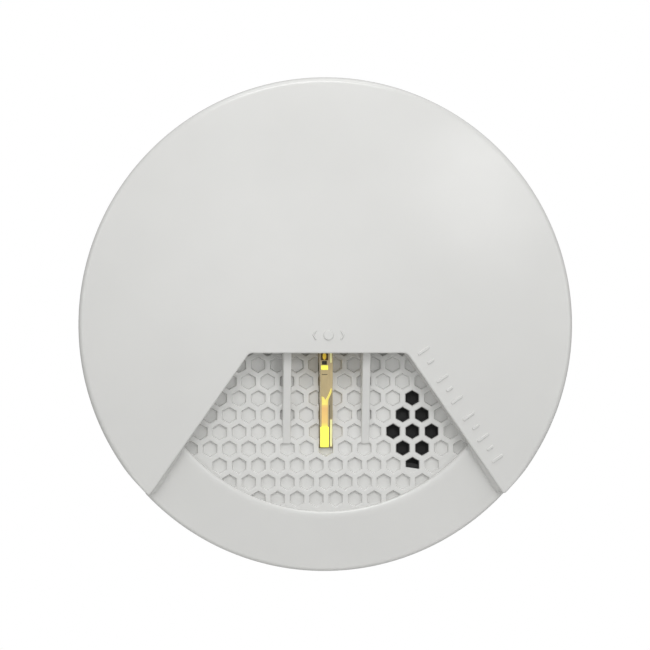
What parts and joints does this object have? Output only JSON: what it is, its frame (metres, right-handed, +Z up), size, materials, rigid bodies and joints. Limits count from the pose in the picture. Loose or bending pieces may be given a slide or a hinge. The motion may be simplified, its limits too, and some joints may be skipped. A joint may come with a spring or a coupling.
{
  "type": "smoke detector",
  "caption": "Round wall-mounted wireless smoke detector with a hexagon-lattice sounder window, clear test button, side vents, hinged battery door and twist-off bracket.",
  "frame": {"origin": "centre of the mounting bracket's back face, on the wall plane", "axes": "+Z up the wall, -Y out of the wall into the room through the detector's face, +X to the right as seen from the room"},
  "size_m": [0.1206, 0.054, 0.1208],
  "materials": {
    "cover_white": "off-white gloss ABS, finely moulded",
    "housing_white": "off-white satin ABS",
    "bracket_white": "off-white matte ABS",
    "light_guide": "clear polycarbonate, lit yellow from behind",
    "black_plastic": "black moulded plastic",
    "steel": "zinc-plated steel",
    "insect_mesh": "woven dark steel mesh",
    "board_green": "glass-fibre board with green solder mask",
    "nickel": "nickel-plated spring steel",
    "brass": "brass disc with ceramic face",
    "foam": "closed-cell foam",
    "cell_wrap": "printed shrink wrap, plain",
    "led_yellow": "yellow indicator",
    "ir_clear": "pale blue epoxy",
    "copper": "enamelled copper winding",
    "can_grey": "aluminium can"
  },
  "bodies": {
    "wall_bracket": {"mounting_bracket": "bracket_white"},
    "detector": {"rear_housing": "housing_white", "housing_screws": "steel", "vent_fins": "housing_white", "vent_screen": "insect_mesh", "vent_ring": "housing_white", "front_cover": "cover_white", "hex_grille": "cover_white", "test_pivot_pin": "steel", "test_switch_body": "black_plastic", "status_led": "led_yellow", "main_board": "board_green", "board_screws": "steel", "chamber_base": "black_plastic", "chamber_labyrinth": "black_plastic", "chamber_mesh": "insect_mesh", "chamber_cap": "black_plastic", "optics_holder": "black_plastic", "infrared_led": "ir_clear", "photodiode": "black_plastic", "sounder_shell": "black_plastic", "piezo_disc": "brass", "sounder_gasket": "foam", "sounder_contacts": "nickel", "battery_cell": "steel", "battery_wrap": "cell_wrap", "battery_spring_contact": "nickel", "battery_plate_contact": "nickel", "door_hinge_pin": "steel", "tamper_spring": "nickel", "tamper_switch": "black_plastic", "antenna_strip": "brass", "radio_module": "can_grey", "microcontroller": "black_plastic", "capacitors": "can_grey", "driver_coil": "copper"},
    "test_lever": {"test_button": "light_guide"},
    "test_plunger": {"switch_plunger": "black_plastic"},
    "battery_door": {"battery_door": "housing_white"},
    "tamper_plunger": {"tamper_plunger": "housing_white"}
  },
  "joints": [
    {"name": "bayonet_twist", "type": "hinge", "parent": "wall_bracket", "child": "detector", "pos_m": [0, 0, 0], "axis": [0, -1, 0], "range_deg": [0, 15]},
    {"name": "test_press", "type": "hinge", "parent": "detector", "child": "test_lever", "pos_m": [0, -0.0465, 0.002], "axis": [1, 0, 0], "range_deg": [0, 1.8], "stiffness_Nm_per_rad": 0.6},
    {"name": "switch_press", "type": "slide", "parent": "detector", "child": "test_plunger", "axis": [0, 1, 0], "range_m": [0, 0.00035]},
    {"name": "battery_door_hinge", "type": "hinge", "parent": "detector", "child": "battery_door", "pos_m": [0, -0.004, 0.0129], "axis": [1, 0, 0], "range_deg": [0, 100]},
    {"name": "tamper_press", "type": "slide", "parent": "detector", "child": "tamper_plunger", "axis": [0, 1, 0], "range_m": [0, 0.0015], "deforming": ["tamper_spring"]}
  ],
  "couplings": [
    {"joint": "switch_press", "follows": "test_press", "m_per_rad": 0.01}
  ]
}
